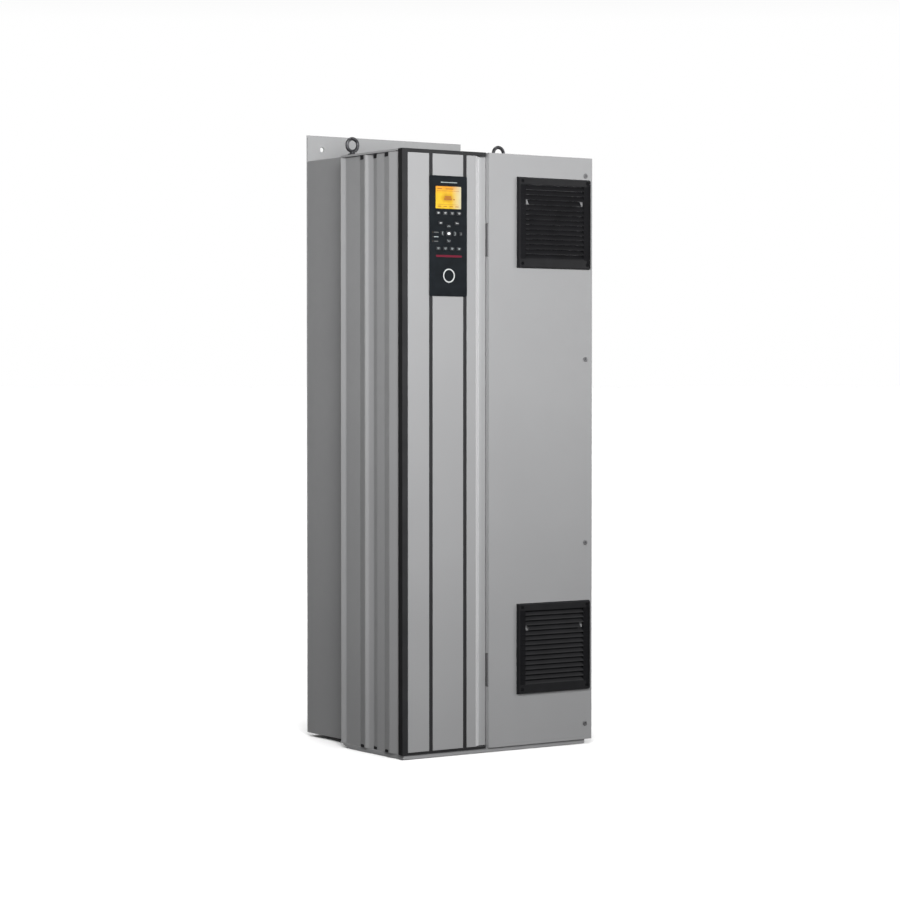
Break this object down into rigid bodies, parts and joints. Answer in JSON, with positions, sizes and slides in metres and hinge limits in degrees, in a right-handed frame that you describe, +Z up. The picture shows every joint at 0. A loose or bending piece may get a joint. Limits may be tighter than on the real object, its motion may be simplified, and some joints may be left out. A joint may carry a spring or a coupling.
{
  "type": "variable frequency drive",
  "caption": "Tall wall-mounted variable frequency drive: steel cabinet with a hinged louvred door, a keypad in a striped control cover, and a finned rear cooling channel.",
  "frame": {"origin": "middle of the base, at the floor, halfway between the grille faces and the wall", "axes": "+Z up along the height, +Y from the door towards the wall, +X from the keypad side towards the door-lock side"},
  "size_m": [0.42, 0.392, 1.1396],
  "materials": {
    "grey_paint": "satin",
    "plated_steel": "satin",
    "black_plastic": "matte",
    "dark_steel": "satin",
    "aluminium": "satin",
    "key_rubber": "matte",
    "amber_screen": "gloss",
    "foam": "matte",
    "filter_felt": "matte",
    "circuit_board": "satin",
    "component_plastic": "satin",
    "capacitor_sleeve": "gloss",
    "copper": "satin"
  },
  "bodies": {
    "cabinet": {"back_plate": "grey_paint", "rear_channel": "grey_paint", "lifting_eye_left": "dark_steel", "lifting_eye_right": "dark_steel", "heat_sink": "aluminium", "heat_sink_fan_frame": "plated_steel", "front_frame": "plated_steel", "back_wall": "plated_steel", "side_cover_left": "grey_paint", "side_cover_right": "grey_paint", "top_cover": "grey_paint", "base_pan": "grey_paint", "gland_plate": "plated_steel", "door_hinge_upper": "dark_steel", "door_hinge_lower": "dark_steel", "control_cover": "black_plastic", "strip_1": "grey_paint", "strip_2": "grey_paint", "strip_3": "grey_paint", "keypad_cradle": "black_plastic", "inverter_module": "component_plastic", "rectifier_module": "component_plastic", "capacitor_bank": "capacitor_sleeve", "dc_choke": "dark_steel", "emi_filter": "plated_steel", "mains_terminals": "component_plastic", "motor_terminals": "component_plastic", "ground_bar": "copper", "power_card": "circuit_board", "control_card": "circuit_board"},
    "door": {"door_panel": "grey_paint", "upper_filter_mat": "filter_felt", "lower_filter_mat": "filter_felt", "door_fan_frame": "black_plastic"},
    "heat_sink_fan": {"heat_sink_fan_rotor": "black_plastic"},
    "door_fan": {"door_fan_rotor": "black_plastic"},
    "upper_grille": {"upper_grille": "black_plastic"},
    "lower_grille": {"lower_grille": "black_plastic"},
    "keypad": {"keypad_body": "black_plastic", "keypad_screen": "amber_screen"},
    "door_lock_1": {"door_lock_1": "dark_steel"},
    "door_lock_2": {"door_lock_2": "dark_steel"},
    "door_lock_3": {"door_lock_3": "dark_steel"},
    "door_lock_4": {"door_lock_4": "dark_steel"},
    "key_status": {"key_status": "key_rubber"},
    "key_quick_menu": {"key_quick_menu": "key_rubber"},
    "key_main_menu": {"key_main_menu": "key_rubber"},
    "key_alarm_log": {"key_alarm_log": "key_rubber"},
    "key_back": {"key_back": "key_rubber"},
    "key_cancel": {"key_cancel": "key_rubber"},
    "key_up": {"key_up": "key_rubber"},
    "key_left": {"key_left": "key_rubber"},
    "key_ok": {"key_ok": "key_rubber"},
    "key_right": {"key_right": "key_rubber"},
    "key_info": {"key_info": "key_rubber"},
    "key_down": {"key_down": "key_rubber"},
    "key_hand_on": {"key_hand_on": "key_rubber"},
    "key_off": {"key_off": "key_rubber"},
    "key_auto_on": {"key_auto_on": "key_rubber"},
    "key_reset": {"key_reset": "key_rubber"}
  },
  "joints": [
    {"name": "door_hinge", "type": "hinge", "parent": "cabinet", "child": "door", "pos_m": [-0.0212, -0.1845, 0.54], "axis": [0, 0, -1], "range_deg": [0, 100]},
    {"name": "keypad_pull", "type": "slide", "parent": "cabinet", "child": "keypad", "axis": [0, -1, 0], "range_m": [0, 0.02]},
    {"name": "heat_sink_fan_spin", "type": "hinge", "parent": "cabinet", "child": "heat_sink_fan", "pos_m": [0, 0.106, 0.27], "axis": [0, 0, 1], "continuous": true},
    {"name": "door_fan_spin", "type": "hinge", "parent": "door", "child": "door_fan", "pos_m": [0.121, -0.172, 0.9635], "axis": [0, 1, 0], "continuous": true},
    {"name": "upper_grille_tilt", "type": "hinge", "parent": "door", "child": "upper_grille", "pos_m": [0.121, -0.1903, 0.8805], "axis": [1, 0, 0], "range_deg": [0, 50]},
    {"name": "lower_grille_tilt", "type": "hinge", "parent": "door", "child": "lower_grille", "pos_m": [0.121, -0.1903, 0.1018], "axis": [1, 0, 0], "range_deg": [0, 50]},
    {"name": "door_lock_1_turn", "type": "hinge", "parent": "door", "child": "door_lock_1", "pos_m": [0.1945, -0.19, 1.054], "axis": [0, -1, 0], "range_deg": [0, 90]},
    {"name": "door_lock_2_turn", "type": "hinge", "parent": "door", "child": "door_lock_2", "pos_m": [0.1945, -0.19, 0.715], "axis": [0, -1, 0], "range_deg": [0, 90]},
    {"name": "door_lock_3_turn", "type": "hinge", "parent": "door", "child": "door_lock_3", "pos_m": [0.1945, -0.19, 0.375], "axis": [0, -1, 0], "range_deg": [0, 90]},
    {"name": "door_lock_4_turn", "type": "hinge", "parent": "door", "child": "door_lock_4", "pos_m": [0.1945, -0.19, 0.038], "axis": [0, -1, 0], "range_deg": [0, 90]},
    {"name": "key_status_press", "type": "slide", "parent": "keypad", "child": "key_status", "axis": [0, 1, 0], "range_m": [0, 0.0008], "stiffness_N_per_m": 400, "springref_m": -0.0004},
    {"name": "key_quick_menu_press", "type": "slide", "parent": "keypad", "child": "key_quick_menu", "axis": [0, 1, 0], "range_m": [0, 0.0008], "stiffness_N_per_m": 400, "springref_m": -0.0004},
    {"name": "key_main_menu_press", "type": "slide", "parent": "keypad", "child": "key_main_menu", "axis": [0, 1, 0], "range_m": [0, 0.0008], "stiffness_N_per_m": 400, "springref_m": -0.0004},
    {"name": "key_alarm_log_press", "type": "slide", "parent": "keypad", "child": "key_alarm_log", "axis": [0, 1, 0], "range_m": [0, 0.0008], "stiffness_N_per_m": 400, "springref_m": -0.0004},
    {"name": "key_back_press", "type": "slide", "parent": "keypad", "child": "key_back", "axis": [0, 1, 0], "range_m": [0, 0.0008], "stiffness_N_per_m": 400, "springref_m": -0.0004},
    {"name": "key_cancel_press", "type": "slide", "parent": "keypad", "child": "key_cancel", "axis": [0, 1, 0], "range_m": [0, 0.0008], "stiffness_N_per_m": 400, "springref_m": -0.0004},
    {"name": "key_up_press", "type": "slide", "parent": "keypad", "child": "key_up", "axis": [0, 1, 0], "range_m": [0, 0.0008], "stiffness_N_per_m": 400, "springref_m": -0.0004},
    {"name": "key_left_press", "type": "slide", "parent": "keypad", "child": "key_left", "axis": [0, 1, 0], "range_m": [0, 0.0008], "stiffness_N_per_m": 400, "springref_m": -0.0004},
    {"name": "key_ok_press", "type": "slide", "parent": "keypad", "child": "key_ok", "axis": [0, 1, 0], "range_m": [0, 0.0008], "stiffness_N_per_m": 400, "springref_m": -0.0004},
    {"name": "key_right_press", "type": "slide", "parent": "keypad", "child": "key_right", "axis": [0, 1, 0], "range_m": [0, 0.0008], "stiffness_N_per_m": 400, "springref_m": -0.0004},
    {"name": "key_info_press", "type": "slide", "parent": "keypad", "child": "key_info", "axis": [0, 1, 0], "range_m": [0, 0.0008], "stiffness_N_per_m": 400, "springref_m": -0.0004},
    {"name": "key_down_press", "type": "slide", "parent": "keypad", "child": "key_down", "axis": [0, 1, 0], "range_m": [0, 0.0008], "stiffness_N_per_m": 400, "springref_m": -0.0004},
    {"name": "key_hand_on_press", "type": "slide", "parent": "keypad", "child": "key_hand_on", "axis": [0, 1, 0], "range_m": [0, 0.0008], "stiffness_N_per_m": 400, "springref_m": -0.0004},
    {"name": "key_off_press", "type": "slide", "parent": "keypad", "child": "key_off", "axis": [0, 1, 0], "range_m": [0, 0.0008], "stiffness_N_per_m": 400, "springref_m": -0.0004},
    {"name": "key_auto_on_press", "type": "slide", "parent": "keypad", "child": "key_auto_on", "axis": [0, 1, 0], "range_m": [0, 0.0008], "stiffness_N_per_m": 400, "springref_m": -0.0004},
    {"name": "key_reset_press", "type": "slide", "parent": "keypad", "child": "key_reset", "axis": [0, 1, 0], "range_m": [0, 0.0008], "stiffness_N_per_m": 400, "springref_m": -0.0004}
  ]
}
